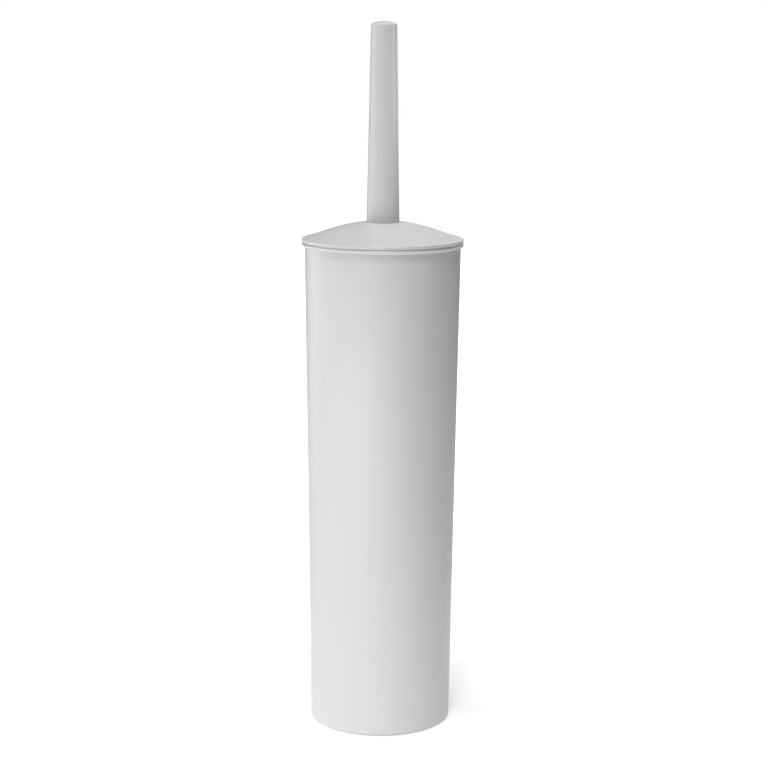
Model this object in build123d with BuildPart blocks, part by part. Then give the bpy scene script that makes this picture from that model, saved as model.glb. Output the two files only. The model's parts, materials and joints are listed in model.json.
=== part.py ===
from build123d import *
import os
from math import cos, radians, sin, tan

os.makedirs("parts", exist_ok=True)

# Toilet brush holder: a slim tapered container with a removable liner, and a brush whose domed lid
# closes the liner's mouth when it is put back.
#
# Frame: millimetres, +Z up, origin on the floor at the centre of the base.
# Every round piece is a section of (radius, height) points turned about Z.

# ---- Driving dimensions ----

# Outer container
tube_bottom_z = 0.4
tube_top_z = 286.25
tube_foot_r = 41.9
tube_mouth_r = 45.6
tube_wall = 1.8
tube_floor_z = 3.0
tube_floor_thickness = 2.0

# Anti-slip ring under the container
grip_ring_outer_r = 39.8
grip_ring_inner_r = 36.2
grip_ring_fit = 0.05
foot_rib_width = 1.4

# Removable liner
liner_gap = 0.6
liner_wall = 1.2
liner_lift_off_floor = 1.0
liner_floor_thickness = 1.6
flange_r = 47.3
flange_seat_gap = 0.05
flange_thickness = 2.2
flange_lip_height = 1.4
flange_slope_width = 0.7

# Lid
lid_r = 47.4
lid_edge_bottom_z = 288.75
lid_edge_middle_z = 289.9
lid_edge_top_z = 290.75
lid_edge_round = 0.5
lid_undercut = 0.4
lid_wall = 1.8
dome_top_z = 300.15
dome_flat_r = 13.0
dome_flat_bend = 30.0
dome_inner_slope = 10.5
dome_outer_slope = 19.0
shoulder_r = 25.0
shoulder_bend = 90.0
lip_r = 45.4
lip_hollow = 8.0
skirt_r = 41.3
skirt_thickness = 1.5
skirt_bottom_z = 279.5
skirt_draft = 0.2
lid_boss_r = 9.0
lid_boss_bottom_z = 290.5

# Handle
handle_foot_z = 299.85
handle_foot_r = 9.6
handle_top_z = 415.5
handle_top_r = 7.55
handle_crown = 1.8
handle_wall = 2.4
socket_gap = 0.1
spigot_r = 7.0
spigot_height = 5.5

# Handle plug and its threaded insert
plug_bottom_z = 307.0
plug_length = 33.0
insert_r = 5.6
insert_length = 16.0
insert_cavity_depth = 24.0

# Stem
shank_r = 5.0
thread_r = 4.0
thread_fit = 0.05
lower_thread_bottom_z = 100.0
lower_shoulder_z = 120.0
upper_shoulder_z = 287.35
upper_thread_top_z = 323.0
wrench_flat_width = 8.0
wrench_flat_length = 10.0
wrench_flat_z = 262.0

# Washer and O-rings on the stem
washer_r = 8.5
washer_thickness = 1.2
o_ring_section_r = 0.9
o_ring_gap = 0.15

# Brush head
head_core_r = 8.5
head_core_bottom_z = 25.8
head_core_top_z = 102.0
head_collar_r = 12.0
head_collar_thickness = 2.2
neck_r = 7.6
head_bore_bottom_z = 97.0

# Bristles
row_count = 9
first_row_z = 37.2
row_pitch = 7.6
row_thickness = 7.0
tufts_per_row = 12
end_tufts = {0: 1, 34: 6, 68: 12}  # tilt away from straight down, in degrees, and how many
tuft_hole_r = 1.5
tuft_hole_depth = 3.0
brush_r = 35.0
brush_middle_z = 63.6
brush_half_height = 51.0
brush_roundness = 4
crown_bottom_z = 13.0
crown_round = 14.0
anchor_width = 2.6
anchor_wire = 0.5
anchor_depth = 1.6

# Shared small sizes
clearance = 0.1
edge_round = 0.4


# ---- Derived sizes ----

taper = (tube_mouth_r - tube_foot_r) / (tube_top_z - tube_bottom_z)
tube_inside_z = tube_floor_z + tube_floor_thickness
flange_bottom_z = tube_top_z + flange_seat_gap
flange_top_z = flange_bottom_z + flange_thickness
liner_bottom_z = tube_inside_z + liner_lift_off_floor
liner_inside_z = liner_bottom_z + liner_floor_thickness
shoulder_z = dome_top_z - (shoulder_r - dome_flat_r) * tan(radians(dome_inner_slope))
lip_z = shoulder_z - (lip_r - shoulder_r) * tan(radians(dome_outer_slope))
socket_r = handle_foot_r + socket_gap
stem_hole_r = thread_r + clearance
lower_washer_z = upper_shoulder_z + clearance / 2
neck_top_z = lower_shoulder_z - clearance / 2
insert_bottom_z = plug_bottom_z + clearance
row_heights = [first_row_z + row * row_pitch for row in range(row_count)]
crown_top_z = first_row_z - row_thickness / 2 - edge_round


def tube_radius(z):
    """Outside radius of the tapered container at height z."""
    return tube_foot_r + taper * (z - tube_bottom_z)


def tube_bore(z):
    """Inside radius of the container at height z."""
    return tube_radius(z) - tube_wall


def liner_radius(z):
    """Outside radius of the liner at height z."""
    return tube_bore(z) - liner_gap


def liner_bore(z):
    """Inside radius of the liner at height z."""
    return liner_radius(z) - liner_wall


def handle_radius(z):
    """Outside radius of the tapered handle at height z."""
    narrowing = (handle_foot_r - handle_top_r) / (handle_top_z - handle_crown - handle_foot_z)
    return handle_foot_r - narrowing * (z - handle_foot_z)


def handle_bore(z):
    """Inside radius of the hollow handle at height z."""
    return handle_radius(z) - handle_wall


def brush_radius(z):
    """How far the bristles reach at height z: a rounded barrel."""
    offset = abs(z - brush_middle_z) / brush_half_height
    return brush_r * (1 - offset**brush_roundness) ** (1 / brush_roundness)


def turn(points, rounds=()):
    """Turn a closed (radius, height) section about Z, after rounding some of its corners.

    rounds holds (corner, radius) pairs.
    """
    with BuildSketch(Plane.XZ) as section:
        with BuildLine():
            Polyline(*points, close=True)
        make_face()
        for corner, radius in rounds:
            fillet(section.vertices().sort_by_distance(corner)[0], radius=radius)
    revolve(section.sketch, axis=Axis.Z)


def turn_ring(inner_r, outer_r, bottom_z, top_z, rounding):
    """Turn a plain ring with all four of its edges rounded."""
    corners = [(inner_r, bottom_z), (outer_r, bottom_z), (outer_r, top_z), (inner_r, top_z)]
    turn(corners, [(corner, rounding) for corner in corners])


def o_ring(inner_r, middle_z):
    """Turn an O-ring about Z."""
    with BuildSketch(Plane.XZ) as section:
        with Locations((inner_r + o_ring_section_r, middle_z)):
            Circle(o_ring_section_r)
    revolve(section.sketch, axis=Axis.Z)


def finish(piece, name):
    """Label a finished piece and write it out."""
    piece.part.label = name
    export_step(piece.part, f"parts/{name}.step")


# ---- Holder ----

foot_round = 1.2
inside_corner = 3.0
gate_r = 5.0
gate_depth = 0.6
floor_rib_count = 6
floor_rib_width = 1.2
floor_rib_depth = 1.4
rib_inner_r = grip_ring_inner_r - grip_ring_fit - foot_rib_width
rib_outer_r = grip_ring_inner_r - grip_ring_fit
foot_inner_r = grip_ring_outer_r + grip_ring_fit
rib_bottom_z = tube_bottom_z + edge_round

with BuildPart() as holder_tube:
    turn(
        [
            (0, tube_floor_z),
            (rib_inner_r, tube_floor_z),
            (rib_inner_r, rib_bottom_z),
            (rib_outer_r, rib_bottom_z),
            (rib_outer_r, tube_floor_z),
            (foot_inner_r, tube_floor_z),
            (foot_inner_r, tube_bottom_z),
            (tube_foot_r, tube_bottom_z),
            (tube_mouth_r, tube_top_z),
            (tube_bore(tube_top_z), tube_top_z),
            (tube_bore(tube_inside_z), tube_inside_z),
            (0, tube_inside_z),
        ],
        [
            ((tube_foot_r, tube_bottom_z), foot_round),
            ((tube_mouth_r, tube_top_z), edge_round),
            ((tube_bore(tube_top_z), tube_top_z), edge_round),
            ((tube_bore(tube_inside_z), tube_inside_z), inside_corner),
        ],
    )
    # Stiffening ribs under the floor, from the moulding gate out to the ring's rib
    rib_length = rib_inner_r - gate_r
    with BuildSketch(Plane.XY.offset(tube_floor_z - floor_rib_depth)):
        with PolarLocations(gate_r + rib_length / 2, floor_rib_count):
            Rectangle(rib_length + edge_round, floor_rib_width)
        Circle(gate_r + edge_round)
    extrude(amount=floor_rib_depth)
    # Dimple left by the moulding gate
    with BuildSketch(Plane.XY.offset(tube_floor_z - floor_rib_depth)):
        Circle(gate_r - floor_rib_width)
    extrude(amount=gate_depth, mode=Mode.SUBTRACT)
finish(holder_tube, "holder_tube")

with BuildPart() as anti_slip_ring:
    turn_ring(grip_ring_inner_r, grip_ring_outer_r, 0, tube_floor_z - grip_ring_fit, edge_round)
finish(anti_slip_ring, "anti_slip_ring")


# ---- Liner ----

liner_outside_corner = 4.0
flange_under_round = 1.0
flange_outer_round = 0.6
flange_top_round = 0.3

with BuildPart() as liner:
    turn(
        [
            (0, liner_bottom_z),
            (liner_radius(liner_bottom_z), liner_bottom_z),
            (liner_radius(flange_bottom_z), flange_bottom_z),
            (flange_r, flange_bottom_z),
            (flange_r, flange_bottom_z + flange_lip_height),
            (flange_r - flange_slope_width, flange_top_z),
            (liner_bore(flange_top_z), flange_top_z),
            (liner_bore(liner_inside_z), liner_inside_z),
            (0, liner_inside_z),
        ],
        [
            ((liner_radius(liner_bottom_z), liner_bottom_z), liner_outside_corner),
            ((flange_r, flange_bottom_z), flange_under_round),
            ((flange_r, flange_bottom_z + flange_lip_height), flange_outer_round),
            ((flange_r - flange_slope_width, flange_top_z), flange_top_round),
            ((liner_bore(flange_top_z), flange_top_z), edge_round),
            ((liner_bore(liner_inside_z), liner_inside_z), inside_corner),
        ],
    )
finish(liner, "liner")


# ---- Lid and its seal ----

seal_inner_r = skirt_r + clearance
seal_outer_r = seal_inner_r + 1.6
seal_bottom_z = flange_top_z + flange_seat_gap
seal_top_z = lid_edge_bottom_z + 0.9
seal_groove_r = seal_outer_r + clearance
seal_groove_z = seal_top_z + clearance
socket_round = 0.2
skirt_inner_r = skirt_r - skirt_thickness
dome_underside = lid_wall / cos(radians(dome_outer_slope))
skirt_top_z = shoulder_z - (skirt_inner_r - shoulder_r) * tan(radians(dome_outer_slope)) - dome_underside
boss_top_z = dome_top_z - lid_wall

with BuildPart() as lid_seal:
    turn_ring(seal_inner_r, seal_outer_r, seal_bottom_z, seal_top_z, edge_round / 2)
finish(lid_seal, "lid_seal")

with BuildPart() as lid:
    turn(
        [
            # Spigot that the hollow handle fits over, and the socket for the handle's foot
            (stem_hole_r, handle_foot_z + spigot_height),
            (spigot_r, handle_foot_z + spigot_height),
            (spigot_r, handle_foot_z),
            (socket_r, handle_foot_z),
            # Flat ring round the handle, dome, and the lip that it runs out into
            (socket_r, dome_top_z),
            (dome_flat_r, dome_top_z),
            (shoulder_r, shoulder_z),
            (lip_r, lip_z),
            (lid_r, lid_edge_top_z),
            (lid_r, lid_edge_middle_z),
            (lid_r - lid_undercut, lid_edge_bottom_z),
            # Seal groove and skirt
            (seal_groove_r, lid_edge_bottom_z),
            (seal_groove_r, seal_groove_z),
            (skirt_r, seal_groove_z),
            (skirt_r - skirt_draft, skirt_bottom_z),
            (skirt_inner_r - skirt_draft, skirt_bottom_z),
            (skirt_inner_r, skirt_top_z),
            # Underside of the dome and the boss
            (shoulder_r, shoulder_z - dome_underside),
            (lid_boss_r, boss_top_z),
            (lid_boss_r, lid_boss_bottom_z),
            (stem_hole_r, lid_boss_bottom_z),
        ],
        [
            ((dome_flat_r, dome_top_z), dome_flat_bend),
            ((shoulder_r, shoulder_z), shoulder_bend),
            ((shoulder_r, shoulder_z - dome_underside), shoulder_bend),
            ((socket_r, dome_top_z), socket_round),
            ((lip_r, lip_z), lip_hollow),
            ((lid_r, lid_edge_top_z), lid_edge_round),
            ((lid_r - lid_undercut, lid_edge_bottom_z), edge_round / 2),
            ((skirt_r - skirt_draft, skirt_bottom_z), edge_round),
            ((skirt_inner_r - skirt_draft, skirt_bottom_z), edge_round),
            ((lid_boss_r, boss_top_z), 2 * edge_round),
        ],
    )
finish(lid, "lid")


# ---- Handle, plug and insert ----

crown_edge_z = handle_top_z - handle_crown
handle_cavity_top_z = crown_edge_z - handle_wall
crown_edge_round = 1.0
plug_top_z = plug_bottom_z + plug_length
plug_groove_count = 4
plug_groove_r = 0.8
insert_groove_depth = 0.5
insert_groove_width = 2.0

with BuildPart() as handle:
    with BuildSketch(Plane.XZ) as handle_section:
        with BuildLine():
            Polyline(
                (0, handle_cavity_top_z),
                (handle_bore(handle_cavity_top_z), handle_cavity_top_z),
                (handle_bore(handle_foot_z), handle_foot_z),
                (handle_foot_r, handle_foot_z),
                (handle_top_r, crown_edge_z),
            )
            crown_radius = (handle_top_r**2 + handle_crown**2) / (2 * handle_crown)
            crown_lean = handle_top_r / (2 * crown_radius)
            crown_middle_z = handle_top_z - crown_radius * (1 - cos(crown_lean))
            ThreePointArc(
                (handle_top_r, crown_edge_z),
                (crown_radius * sin(crown_lean), crown_middle_z),
                (0, handle_top_z),
            )
            Line((0, handle_top_z), (0, handle_cavity_top_z))
        make_face()
        for corner, rounding in (
            ((handle_top_r, crown_edge_z), crown_edge_round),
            ((handle_foot_r, handle_foot_z), socket_round),
            ((handle_bore(handle_cavity_top_z), handle_cavity_top_z), handle_wall),
        ):
            fillet(handle_section.vertices().sort_by_distance(corner)[0], radius=rounding)
    revolve(axis=Axis.Z)
finish(handle, "handle")

with BuildPart() as handle_plug:
    turn(
        [
            (insert_r + clearance / 2, plug_bottom_z),
            (handle_bore(plug_bottom_z) - clearance / 2, plug_bottom_z),
            (handle_bore(plug_top_z) - clearance / 2, plug_top_z),
            (0, plug_top_z),
            (0, plug_bottom_z + insert_cavity_depth),
            (stem_hole_r, plug_bottom_z + insert_cavity_depth),
            (stem_hole_r, insert_bottom_z + insert_length + clearance),
            (insert_r + clearance / 2, insert_bottom_z + insert_length + clearance),
        ],
        [((handle_bore(plug_top_z) - clearance / 2, plug_top_z), edge_round)],
    )
    # Glue grooves along the outside, above the insert
    groove_z0 = insert_bottom_z + insert_length + insert_groove_width
    with BuildSketch(Plane.XY.offset(groove_z0)):
        with PolarLocations(handle_bore(groove_z0), plug_groove_count):
            Circle(plug_groove_r)
    extrude(amount=plug_top_z - groove_z0, mode=Mode.SUBTRACT)
finish(handle_plug, "handle_plug")

with BuildPart() as threaded_insert:
    middle_z = insert_bottom_z + insert_length / 2
    turn(
        [
            (thread_r + thread_fit, insert_bottom_z),
            (insert_r, insert_bottom_z),
            (insert_r, middle_z - insert_groove_width / 2),
            (insert_r - insert_groove_depth, middle_z - insert_groove_width / 2),
            (insert_r - insert_groove_depth, middle_z + insert_groove_width / 2),
            (insert_r, middle_z + insert_groove_width / 2),
            (insert_r, insert_bottom_z + insert_length),
            (thread_r + thread_fit, insert_bottom_z + insert_length),
        ]
    )
    chamfer(threaded_insert.edges().filter_by(GeomType.CIRCLE).group_by(Axis.Z)[0], length=edge_round)
finish(threaded_insert, "threaded_insert")


# ---- Stem, washer and O-rings ----

thread_chamfer = 0.8
shoulder_chamfer = 0.5
washer_hole_r = thread_r + clearance
stem_seal_z = lower_washer_z + washer_thickness + o_ring_section_r + clearance / 2
neck_seat_depth = 2 * o_ring_section_r + clearance
neck_seat_r = thread_r + o_ring_gap + 2 * o_ring_section_r + clearance

with BuildPart() as stem:
    turn(
        [
            (0, lower_thread_bottom_z),
            (thread_r - thread_chamfer, lower_thread_bottom_z),
            (thread_r, lower_thread_bottom_z + thread_chamfer),
            (thread_r, lower_shoulder_z),
            (shank_r - shoulder_chamfer, lower_shoulder_z),
            (shank_r, lower_shoulder_z + shoulder_chamfer),
            (shank_r, upper_shoulder_z - shoulder_chamfer),
            (shank_r - shoulder_chamfer, upper_shoulder_z),
            (thread_r, upper_shoulder_z),
            (thread_r, upper_thread_top_z - thread_chamfer),
            (thread_r - thread_chamfer, upper_thread_top_z),
            (0, upper_thread_top_z),
        ]
    )
    # Two flats for a wrench, just below the lid
    with BuildSketch(Plane.XY.offset(wrench_flat_z)):
        with GridLocations(wrench_flat_width + shank_r, 0, 2, 1):
            Rectangle(shank_r, 2 * shank_r)
    extrude(amount=wrench_flat_length, mode=Mode.SUBTRACT)
finish(stem, "stem")

with BuildPart() as clamp_washer:
    turn_ring(washer_hole_r, washer_r, lower_washer_z, lower_washer_z + washer_thickness, edge_round / 2)
finish(clamp_washer, "clamp_washer")

with BuildPart() as stem_seal:
    o_ring(thread_r + o_ring_gap, stem_seal_z)
finish(stem_seal, "stem_seal")

with BuildPart() as head_seal:
    o_ring(thread_r + o_ring_gap, neck_top_z - neck_seat_depth + o_ring_section_r + clearance / 2)
finish(head_seal, "head_seal")


# ---- Brush head ----

core_end_round = head_core_r - clearance
neck_root_round = 1.5
core_end_centre = Vector(0, 0, head_core_bottom_z + head_core_r)


def ring_directions(count, tilt, ring):
    """Unit vectors to evenly spaced tufts, tilted from straight down; odd rings are turned by half a step."""
    half_step = 180 / count * (ring % 2)
    turns = [radians(360 * tuft / count + half_step) for tuft in range(count)]
    return [Vector(sin(tilt) * cos(turned), sin(tilt) * sin(turned), -cos(tilt)) for turned in turns]


def tuft_places(depth):
    """Planes that face outwards along every tuft, at the given depth under the core's surface."""
    rays = []
    for ring, (tilt, count) in enumerate(end_tufts.items()):
        rays += [(core_end_centre, ray) for ray in ring_directions(count, radians(tilt), ring)]
    for row, height in enumerate(row_heights):
        level = Vector(0, 0, height)
        rays += [(level, ray) for ray in ring_directions(tufts_per_row, radians(90), row + 1)]
    return [Plane(centre + ray * (head_core_r - depth), z_dir=ray) for centre, ray in rays]


with BuildPart() as brush_head:
    collar_top_z = head_core_top_z + head_collar_thickness
    turn(
        [
            (0, head_core_bottom_z),
            (head_core_r, head_core_bottom_z),
            (head_core_r, head_core_top_z),
            (head_collar_r, head_core_top_z),
            (head_collar_r, collar_top_z),
            (neck_r, collar_top_z),
            (neck_r, neck_top_z),
            (neck_seat_r, neck_top_z),
            (neck_seat_r, neck_top_z - neck_seat_depth),
            (thread_r + thread_fit, neck_top_z - neck_seat_depth),
            (thread_r + thread_fit, head_bore_bottom_z),
            (0, head_bore_bottom_z),
        ],
        [
            ((head_core_r, head_core_bottom_z), core_end_round),
            ((head_collar_r, head_core_top_z), edge_round),
            ((head_collar_r, collar_top_z), edge_round),
            ((neck_r, collar_top_z), neck_root_round),
            ((neck_r, neck_top_z), edge_round),
        ],
    )
    # Blind holes that the bristle tufts are stapled into
    with Locations(*tuft_places(tuft_hole_depth)):
        Cylinder(
            tuft_hole_r,
            2 * tuft_hole_depth,
            align=(Align.CENTER, Align.CENTER, Align.MIN),
            mode=Mode.SUBTRACT,
        )
finish(brush_head, "brush_head")

with BuildPart() as tuft_anchors:
    with Locations(*tuft_places(tuft_hole_depth - clearance)):
        Box(anchor_width, anchor_wire, anchor_depth, align=(Align.CENTER, Align.CENTER, Align.MIN))
finish(tuft_anchors, "tuft_anchors")


# ---- Bristles ----

bristle_round = 1.5
bristle_root_r = head_core_r + clearance

for row, height in enumerate(row_heights):
    reach = brush_radius(height)
    bottom_z = height - row_thickness / 2
    top_z = height + row_thickness / 2
    with BuildPart() as bristle_row:
        turn(
            [(bristle_root_r, bottom_z), (reach, bottom_z), (reach, top_z), (bristle_root_r, top_z)],
            [((reach, bottom_z), bristle_round), ((reach, top_z), bristle_round)],
        )
    finish(bristle_row, f"bristle_row_{row + 1}")

with BuildPart() as bristle_crown:
    crown_r = brush_radius(crown_top_z)
    cavity_z = head_core_bottom_z - clearance
    turn(
        [
            (0, crown_bottom_z),
            (crown_r, crown_bottom_z),
            (crown_r, crown_top_z),
            (bristle_root_r, crown_top_z),
            (bristle_root_r, cavity_z),
            (0, cavity_z),
        ],
        [((crown_r, crown_bottom_z), crown_round), ((crown_r, crown_top_z), bristle_round)],
    )
finish(bristle_crown, "bristle_crown")
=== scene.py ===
import json
import math
import random

import bpy
import numpy as np
from mathutils import Matrix, Vector


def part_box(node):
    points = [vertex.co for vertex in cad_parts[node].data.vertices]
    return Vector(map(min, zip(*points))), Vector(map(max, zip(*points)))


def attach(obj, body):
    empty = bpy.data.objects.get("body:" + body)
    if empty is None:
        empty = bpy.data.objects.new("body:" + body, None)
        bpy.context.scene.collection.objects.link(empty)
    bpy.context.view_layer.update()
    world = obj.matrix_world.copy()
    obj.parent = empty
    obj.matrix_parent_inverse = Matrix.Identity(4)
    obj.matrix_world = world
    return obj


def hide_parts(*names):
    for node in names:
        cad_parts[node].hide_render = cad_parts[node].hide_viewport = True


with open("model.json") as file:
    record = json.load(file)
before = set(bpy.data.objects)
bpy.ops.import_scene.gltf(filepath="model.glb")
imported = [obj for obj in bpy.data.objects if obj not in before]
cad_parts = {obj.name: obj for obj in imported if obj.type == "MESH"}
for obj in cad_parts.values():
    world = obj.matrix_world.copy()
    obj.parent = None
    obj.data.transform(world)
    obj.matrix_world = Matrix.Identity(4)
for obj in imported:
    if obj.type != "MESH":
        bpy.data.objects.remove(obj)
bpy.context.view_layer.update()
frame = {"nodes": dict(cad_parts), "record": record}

# Looks of a slim toilet brush set: moulded plastic shells from the CAD frame, and bristles made of
# single filaments. Metres, +Z up, origin on the floor under the centre of the base.

MM = 0.001
UP = Vector((0, 0, 1))
NODES = frame["nodes"]


# ---- Camera ----

CAMERA_PLACE = (0.0012, -1.0970, 0.4081)
CAMERA_DOWN = 10.54
CAMERA_ROLL = 0.37
CAMERA_LENS = 88.2
SENSOR = 36.0


def add_camera():
    """A long lens at the photograph's viewpoint: a little above the lid, looking slightly down."""
    data = bpy.data.cameras.new("camera")
    data.lens = CAMERA_LENS
    data.sensor_width = SENSOR
    camera = bpy.data.objects.new("camera", data)
    tilt = Matrix.Rotation(math.radians(90 - CAMERA_DOWN), 3, "X")
    roll = Matrix.Rotation(math.radians(CAMERA_ROLL), 3, "Z")
    camera.rotation_euler = (tilt @ roll).to_euler()
    camera.location = CAMERA_PLACE
    bpy.context.scene.collection.objects.link(camera)
    bpy.context.scene.camera = camera


# ---- Light ----

# Name, azimuth, height of the box, height that it points at, distance, width and height of its face, beam,
# power. Azimuth 0 is the camera's side and 90 the object's right. A beam under 180 degrees is a softbox with
# a grid, which lights only what it points at.
SOFTBOXES = [
    ("overhead", 0, 2.50, 0.30, 0.04, 0.6, 0.60, 180, 14.0),
    ("front_top", 0, 2.30, 0.30, 0.80, 0.5, 0.50, 180, 22.5),
    ("left_front_high", -45, 0.95, 0.30, 0.80, 0.4, 0.50, 180, 1.5),
    ("front_low", -15, 0.07, 0.04, 0.60, 0.9, 0.13, 180, 0.70),
    ("left_front_low", -45, 0.07, 0.04, 0.60, 0.9, 0.13, 180, 0.76),
    ("left", -105, 0.45, 0.30, 0.80, 0.6, 0.70, 180, 1.80),
    ("left_back_low", -125, 0.12, 0.12, 0.90, 0.6, 0.24, 180, 0.45),
    ("right_grip", 90, 0.42, 0.375, 0.60, 0.12, 0.12, 14, 0.0096),
    ("right_back", 135, 0.45, 0.30, 0.80, 0.4, 0.35, 180, 0.55),
    ("back", 165, 0.45, 0.30, 0.80, 0.4, 0.35, 180, 0.28),
    ("back_high", 165, 0.95, 0.30, 0.80, 0.4, 0.50, 180, 0.44),
]
BOUNCE_WIDTH = 0.6
BOUNCE_POWER = 0.228
BOUNCE_DROP = 0.1 * MM


def area_light(name, shape, power):
    """An area light that the camera doesn't see."""
    data = bpy.data.lights.new(name, "AREA")
    data.shape = shape
    data.energy = power
    light = bpy.data.objects.new(name, data)
    light.visible_camera = False
    bpy.context.scene.collection.objects.link(light)
    return light


def softbox(name, azimuth, height, aim, distance, wide, tall, beam, power):
    """A soft rectangular light that points at a height on the object's axis."""
    light = area_light(name, "RECTANGLE", power)
    light.data.size = wide
    light.data.size_y = tall
    light.data.spread = math.radians(beam)
    turn = math.radians(azimuth)
    light.location = (math.sin(turn) * distance, -math.cos(turn) * distance, height)
    outwards = light.location - Vector((0, 0, aim))
    light.rotation_euler = outwards.to_track_quat("Z", "Y").to_euler()


def add_lights():
    """Soft studio light from above, the front and the left, with weak edge lights and a floor bounce."""
    for row in SOFTBOXES:
        softbox(*row)
    bounce = area_light("floor_bounce", "DISK", BOUNCE_POWER)
    bounce.data.size = BOUNCE_WIDTH
    bounce.location.z = -BOUNCE_DROP
    bounce.rotation_euler.x = math.pi


# ---- Studio ----

WHITE = (1, 1, 1, 1)
WORLD_WHITE = 1.0
WORLD_FILL = 0.03

FLOOR_RADIUS = 6.0
FLOOR_SIDES = 96
FLOOR_DROP = 0.2 * MM
FLOOR_COLOUR = (0.9, 0.9, 0.9, 1)
FLOOR_GLOW_NEAR = 0.33
FLOOR_GLOW_FAR = 1.0
GLOW_START = 0.05
GLOW_END = 0.35


def new_node(tree, kind, **values):
    """A new node with some of its sockets set, where _ in a name stands for a space."""
    made = tree.nodes.new(kind)
    for socket, value in values.items():
        made.inputs[socket.replace("_", " ")].default_value = value
    return made


def add_world():
    """A white studio: what the camera sees is plain white, and the walls give a dim even fill."""
    world = bpy.data.worlds.new("studio")
    bpy.context.scene.world = world
    world.use_nodes = True
    tree = world.node_tree
    tree.nodes.clear()
    fill = new_node(tree, "ShaderNodeBackground", Color=WHITE, Strength=WORLD_FILL)
    seen = new_node(tree, "ShaderNodeBackground", Color=WHITE, Strength=WORLD_WHITE)
    path = new_node(tree, "ShaderNodeLightPath")
    mix = new_node(tree, "ShaderNodeMixShader")
    out = new_node(tree, "ShaderNodeOutputWorld")
    tree.links.new(path.outputs["Is Camera Ray"], mix.inputs[0])
    tree.links.new(fill.outputs[0], mix.inputs[1])
    tree.links.new(seen.outputs[0], mix.inputs[2])
    tree.links.new(mix.outputs[0], out.inputs["Surface"])


def floor_white():
    """Matt white that glows a little to the camera alone, and more further out, where the lights fade."""
    material = bpy.data.materials.new("floor_white")
    material.use_nodes = True
    tree = material.node_tree
    tree.nodes.clear()
    diffuse = new_node(tree, "ShaderNodeBsdfDiffuse", Color=FLOOR_COLOUR)
    place = new_node(tree, "ShaderNodeTexCoord")
    length = new_node(tree, "ShaderNodeVectorMath")
    length.operation = "LENGTH"
    grow = new_node(
        tree,
        "ShaderNodeMapRange",
        From_Min=GLOW_START,
        From_Max=GLOW_END,
        To_Min=FLOOR_GLOW_NEAR,
        To_Max=FLOOR_GLOW_FAR,
    )
    grow.interpolation_type = "SMOOTHSTEP"
    path = new_node(tree, "ShaderNodeLightPath")
    strength = new_node(tree, "ShaderNodeMath")
    strength.operation = "MULTIPLY"
    glow = new_node(tree, "ShaderNodeEmission")
    both = new_node(tree, "ShaderNodeAddShader")
    out = new_node(tree, "ShaderNodeOutputMaterial")
    tree.links.new(place.outputs["Object"], length.inputs[0])
    tree.links.new(length.outputs["Value"], grow.inputs["Value"])
    tree.links.new(path.outputs["Is Camera Ray"], strength.inputs[0])
    tree.links.new(grow.outputs["Result"], strength.inputs[1])
    tree.links.new(strength.outputs[0], glow.inputs["Strength"])
    tree.links.new(diffuse.outputs[0], both.inputs[0])
    tree.links.new(glow.outputs[0], both.inputs[1])
    tree.links.new(both.outputs[0], out.inputs["Surface"])
    return material


def add_floor():
    """A plain white floor, a hair under the base so that the two faces don't fight."""
    bpy.ops.mesh.primitive_circle_add(vertices=FLOOR_SIDES, radius=FLOOR_RADIUS, fill_type="NGON")
    floor = bpy.context.object
    floor.name = "floor"
    floor.location.z = -FLOOR_DROP
    floor.data.materials.append(floor_white())


# ---- Materials ----

NOISE_RANGE = (0.2, 0.8)  # the part of a noise texture's values that spread() maps from
TONE_SPREAD = 0.012  # how far moulded plastic's colour strays from its mean, as a share
ROUGHNESS_SPREAD = 0.03  # how far the roughness of plastic and metal strays from its mean


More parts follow.
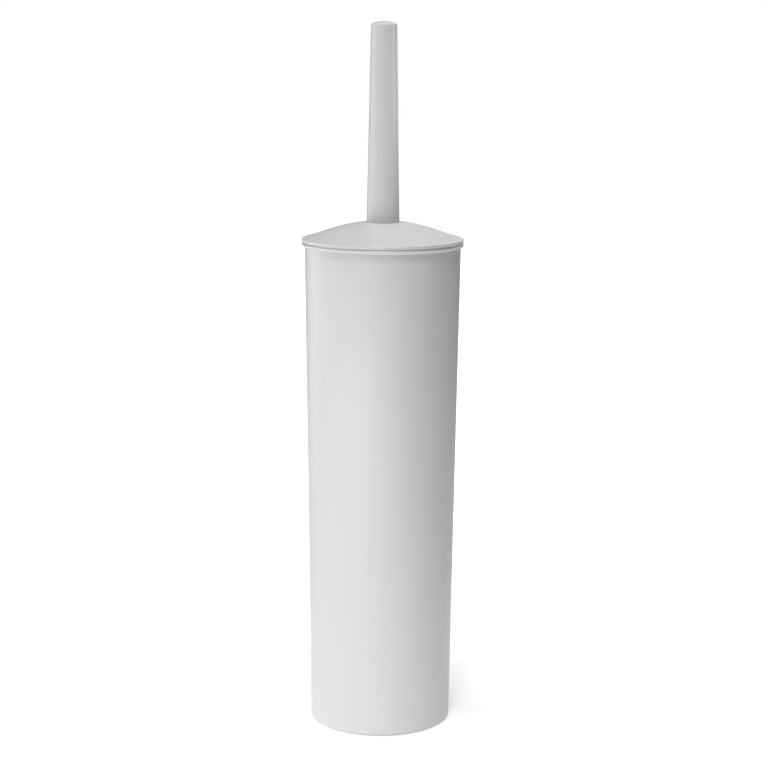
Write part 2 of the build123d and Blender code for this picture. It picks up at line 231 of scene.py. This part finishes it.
class Shader:
    """A Principled material and the few node patterns that the finishes share."""

    def __init__(self, name, colour, roughness, **sockets):
        self.material = bpy.data.materials.new(name)
        self.material.use_nodes = True
        self.tree = self.material.node_tree
        self.bsdf = self.tree.nodes["Principled BSDF"]
        self.bsdf.inputs["Base Color"].default_value = (*colour, 1)
        self.bsdf.inputs["Roughness"].default_value = roughness
        for socket, value in sockets.items():
            self.bsdf.inputs[socket.replace("_", " ")].default_value = value
        self.place = self.tree.nodes.new("ShaderNodeTexCoord").outputs["Object"]

    def noise(self, scale, detail, stretch=(1, 1, 1)):
        """Noise at scale features per metre. A factor under 1 stretches it along that axis."""
        mapping = new_node(self.tree, "ShaderNodeMapping", Scale=stretch)
        self.tree.links.new(self.place, mapping.inputs["Vector"])
        noise = new_node(self.tree, "ShaderNodeTexNoise", Scale=scale, Detail=detail)
        self.tree.links.new(mapping.outputs[0], noise.inputs["Vector"])
        return noise.outputs["Fac"]

    def spread(self, factor, low, high):
        """Map the range that a noise takes to the range from low to high."""
        least, most = NOISE_RANGE
        spread = new_node(
            self.tree, "ShaderNodeMapRange", From_Min=least, From_Max=most, To_Min=low, To_Max=high
        )
        self.tree.links.new(factor, spread.inputs["Value"])
        return spread.outputs["Result"]

    def vary_colour(self, factor, dark, light):
        """Mix the colour from dark to light by the factor."""
        mix = self.tree.nodes.new("ShaderNodeMix")
        mix.data_type = "RGBA"
        ends = [socket for socket in mix.inputs if socket.type == "RGBA"]
        for socket, colour in zip(ends, (dark, light)):
            socket.default_value = (*colour, 1)
        self.tree.links.new(factor, mix.inputs["Factor"])
        mixed = next(socket for socket in mix.outputs if socket.type == "RGBA")
        self.tree.links.new(mixed, self.bsdf.inputs["Base Color"])

    def vary_roughness(self, factor, low, high):
        """Let the roughness follow a noise from low to high."""
        self.tree.links.new(self.spread(factor, low, high), self.bsdf.inputs["Roughness"])

    def bump(self, factor, distance, strength):
        """Raise the surface by up to a distance where the factor is high."""
        bump = new_node(self.tree, "ShaderNodeBump", Strength=strength, Distance=distance)
        self.tree.links.new(factor, bump.inputs["Height"])
        self.tree.links.new(bump.outputs[0], self.bsdf.inputs["Normal"])


def moulded_plastic(name, colour, roughness):
    """Satin-gloss injection-moulded plastic: near even in colour, with a faint pebble from the mould."""
    shader = Shader(name, colour, roughness, Specular_IOR_Level=0.5, IOR=1.5)
    dark = tuple(c * (1 - TONE_SPREAD) for c in colour)
    light = tuple(c * (1 + TONE_SPREAD) for c in colour)
    cloud = shader.noise(scale=14, detail=3, stretch=(1, 1, 0.25))
    sheen = shader.noise(scale=25, detail=2)
    pebble = shader.noise(scale=1500, detail=3)
    shader.vary_colour(cloud, dark, light)
    shader.vary_roughness(sheen, roughness - ROUGHNESS_SPREAD, roughness + ROUGHNESS_SPREAD)
    shader.bump(pebble, distance=0.01 * MM, strength=0.4)
    return shader.material


def rubber(name, colour, roughness):
    """Soft rubber with a fine matt grain."""
    shader = Shader(name, colour, roughness)
    wear = shader.noise(scale=200, detail=3)
    grain = shader.noise(scale=2500, detail=4)
    shader.vary_roughness(wear, low=roughness - 0.06, high=roughness + 0.08)
    shader.bump(grain, distance=0.03 * MM, strength=0.6)
    return shader.material


def turned_metal(name, colour, roughness):
    """Drawn or turned metal: fine marks round the axis."""
    shader = Shader(name, colour, roughness, Metallic=1.0)
    marks = shader.noise(scale=80, detail=4, stretch=(1, 1, 60))
    shader.vary_roughness(marks, roughness - ROUGHNESS_SPREAD, roughness + ROUGHNESS_SPREAD)
    shader.bump(marks, distance=0.0005 * MM, strength=0.15)
    return shader.material


def nylon(name):
    """White nylon filament with a soft shine and a little tone from tuft to tuft."""
    shader = Shader(name, (0.83, 0.83, 0.82), 0.38, Specular_IOR_Level=0.5)
    tone = shader.noise(scale=220, detail=2)
    sheen = shader.noise(scale=900, detail=2)
    shader.vary_colour(tone, dark=(0.76, 0.76, 0.75), light=(0.88, 0.88, 0.87))
    shader.vary_roughness(sheen, low=0.32, high=0.46)
    return shader.material


def paint(finishes):
    """Give every CAD node the finish of its material slot."""
    slots = {row["node"]: row["material_slot"] for row in frame["record"]["subparts"]}
    for name, piece in NODES.items():
        piece.data.materials.clear()
        piece.data.materials.append(finishes[slots[name]])


# ---- Bristles ----

CORE_RADIUS = 8.5 * MM
ROOT_DEPTH = 2.2 * MM
TUFT_ROOT_RADIUS = 1.25 * MM
TUFTS_PER_ROW = 12
END_TUFTS = {0: 1, 34: 6, 68: 12}  # tilt away from straight down, in degrees, and how many
ROW_COUNT = 9
CROWN_ROUND = 14 * MM

FILAMENTS_PER_TUFT = 44
FILAMENT_RADIUS = 0.17 * MM
FILAMENT_STEPS = 4
FILAMENT_SIDES = 5
TIP_TAPER = 0.55  # width of the ground tip, as a share of the filament's
STRAIGHT_SHARE = 0.45  # share of its length over which a filament leaves its hole straight
GOLDEN_ANGLE = math.pi * (3 - math.sqrt(5))

ROW_SPLAY = math.radians(13)
ROW_HALF_THICKNESS = 3.15 * MM
END_SPLAY = math.radians(18)
TIP_JITTER = 0.09
TRIM = (0.25 * MM, 0.95 * MM)  # least and most that a filament is cut short of the trimmed shape
BOW_ROUND = 0.44 * MM
BOW_ALONG = 0.22 * MM
NOSE_TOLERANCE = 0.01 * MM

dice = random.Random(7)


def disc_point(index, count):
    """Evenly spread points in a unit disc."""
    reach = math.sqrt((index + 0.5) / count)
    return reach * math.cos(index * GOLDEN_ANGLE), reach * math.sin(index * GOLDEN_ANGLE)


class Bristles:
    """The filaments of one CAD row, gathered into one mesh that stands for it."""

    def __init__(self, node):
        self.node = node
        self.low, self.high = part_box(node)
        self.verts = []
        self.faces = []

    def filament(self, path):
        """One round filament along the path, with a tip that is ground round."""
        start = len(self.verts)
        side = (path[-1] - path[0]).orthogonal().normalized()
        across = (path[-1] - path[0]).normalized().cross(side)
        turns = [2 * math.pi * k / FILAMENT_SIDES for k in range(FILAMENT_SIDES)]
        widths = [FILAMENT_RADIUS] * (len(path) - 1) + [TIP_TAPER * FILAMENT_RADIUS]
        for point, width in zip(path, widths):
            self.verts += [point + (side * math.cos(t) + across * math.sin(t)) * width for t in turns]
        for step in range(len(path) - 1):
            ring = start + step * FILAMENT_SIDES
            for k in range(FILAMENT_SIDES):
                after = (k + 1) % FILAMENT_SIDES
                self.faces.append(
                    (ring + k, ring + after, ring + FILAMENT_SIDES + after, ring + FILAMENT_SIDES + k)
                )
        last = start + (len(path) - 1) * FILAMENT_SIDES
        self.faces.append(tuple(range(start + FILAMENT_SIDES - 1, start - 1, -1)))
        self.faces.append(tuple(range(last, last + FILAMENT_SIDES)))

    def tuft(self, centre, ray, side, tip_of):
        """The filaments of one hole, which point along ray and splay out to their tips.

        tip_of turns a point of the unit disc, round the brush and along it, into a place.
        """
        along = ray.cross(side)
        for index in range(FILAMENTS_PER_TUFT):
            u, v = disc_point(index, FILAMENTS_PER_TUFT)
            root = centre + ray * (CORE_RADIUS - ROOT_DEPTH) + (side * u + along * v) * TUFT_ROOT_RADIUS
            aim_u = u + dice.uniform(-TIP_JITTER, TIP_JITTER)
            aim_v = max(-1.0, min(1.0, v + dice.uniform(-TIP_JITTER, TIP_JITTER)))
            tip = tip_of(aim_u, aim_v)
            bow = side * dice.uniform(-BOW_ROUND, BOW_ROUND) + along * dice.uniform(-BOW_ALONG, BOW_ALONG)
            leave = root + ray * (tip - root).length * STRAIGHT_SHARE
            path = []
            for step in range(FILAMENT_STEPS + 1):
                t = step / FILAMENT_STEPS
                point = root * (1 - t) ** 2 + leave * 2 * t * (1 - t) + tip * t**2
                path.append(point + bow * math.sin(math.pi * t))
            self.filament(path)

    def finish(self, material):
        """Make the mesh, which rides with the brush in place of its CAD solid."""
        mesh = bpy.data.meshes.new(self.node)
        mesh.from_pydata(self.verts, [], self.faces)
        mesh.update()
        mesh.shade_smooth()
        mesh.materials.append(material)
        piece = bpy.data.objects.new(self.node.replace("bristle", "filaments"), mesh)
        bpy.context.scene.collection.objects.link(piece)
        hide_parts(self.node)
        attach(piece, "brush")


def add_rows(material):
    """Nine rows of twelve tufts, every second row turned by half a step, trimmed to a smooth barrel."""
    rows = [Bristles(f"bristle_row_{number}") for number in range(1, ROW_COUNT + 1)]
    heights = [(row.low.z + row.high.z) / 2 for row in rows]
    reaches = [row.high.x for row in rows]
    for number, (row, height) in enumerate(zip(rows, heights), start=1):
        for tuft in range(TUFTS_PER_ROW):
            turn = 2 * math.pi * (tuft + 0.5 * (number % 2)) / TUFTS_PER_ROW

            def tip_of(u, v):
                z = height + v * ROW_HALF_THICKNESS
                reach = min(float(np.interp(z, heights, reaches)), row.high.x) - dice.uniform(*TRIM)
                angle = turn + u * ROW_SPLAY
                return Vector((reach * math.cos(angle), reach * math.sin(angle), z))

            ray = Vector((math.cos(turn), math.sin(turn), 0))
            side = Vector((-math.sin(turn), math.cos(turn), 0))
            row.tuft(Vector((0, 0, height)), ray, side, tip_of)
        row.finish(material)


def add_crown(material):
    """The end tufts, which fan out from the core's round end and are trimmed to a rounded nose."""
    crown = Bristles("bristle_crown")
    centre = Vector((0, 0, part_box("brush_head")[0].z + CORE_RADIUS))

    def inside(point):
        past_side = max(0.0, point.xy.length - (crown.high.x - CROWN_ROUND))
        past_end = max(0.0, crown.low.z + CROWN_ROUND - point.z)
        return math.hypot(past_side, past_end) < CROWN_ROUND

    def nose(direction):
        """How far the nose is from the centre along a direction, by halving."""
        near, far = CORE_RADIUS, 2 * crown.high.x
        while far - near > NOSE_TOLERANCE:
            middle = (near + far) / 2
            if inside(centre + direction * middle):
                near = middle
            else:
                far = middle
        return near

    for ring, (tilt, count) in enumerate(END_TUFTS.items()):
        for tuft in range(count):
            turn = 2 * math.pi * (tuft + 0.5 * (ring % 2)) / count
            outwards = Vector((math.cos(turn), math.sin(turn), 0))
            side = Vector((-math.sin(turn), math.cos(turn), 0))
            ray = outwards * math.sin(math.radians(tilt)) - UP * math.cos(math.radians(tilt))
            along = ray.cross(side)

            def tip_of(u, v):
                splayed = ray + side * math.tan(u * END_SPLAY) + along * math.tan(v * END_SPLAY)
                direction = splayed.normalized()
                return centre + direction * (nose(direction) - dice.uniform(*TRIM))

            crown.tuft(centre, ray, side, tip_of)
    crown.finish(material)


# ---- Build ----

FINISHES = {
    "shell_plastic": moulded_plastic("shell_plastic", (0.70, 0.70, 0.69), 0.34),
    "liner_plastic": moulded_plastic("liner_plastic", (0.74, 0.74, 0.73), 0.30),
    "head_plastic": moulded_plastic("head_plastic", (0.76, 0.76, 0.75), 0.38),
    "grip_rubber": rubber("grip_rubber", (0.10, 0.10, 0.10), 0.75),
    "seal_rubber": rubber("seal_rubber", (0.55, 0.55, 0.54), 0.55),
    "stem_steel": turned_metal("stem_steel", (0.70, 0.69, 0.68), 0.30),
    "insert_brass": turned_metal("insert_brass", (0.78, 0.58, 0.28), 0.30),
    "anchor_wire": turned_metal("anchor_wire", (0.62, 0.61, 0.60), 0.30),
    "bristle_nylon": nylon("bristle_nylon"),
}

paint(FINISHES)
add_rows(FINISHES["bristle_nylon"])
add_crown(FINISHES["bristle_nylon"])
add_camera()
add_world()
add_lights()
add_floor()
bpy.context.scene.view_settings.view_transform = "Standard"
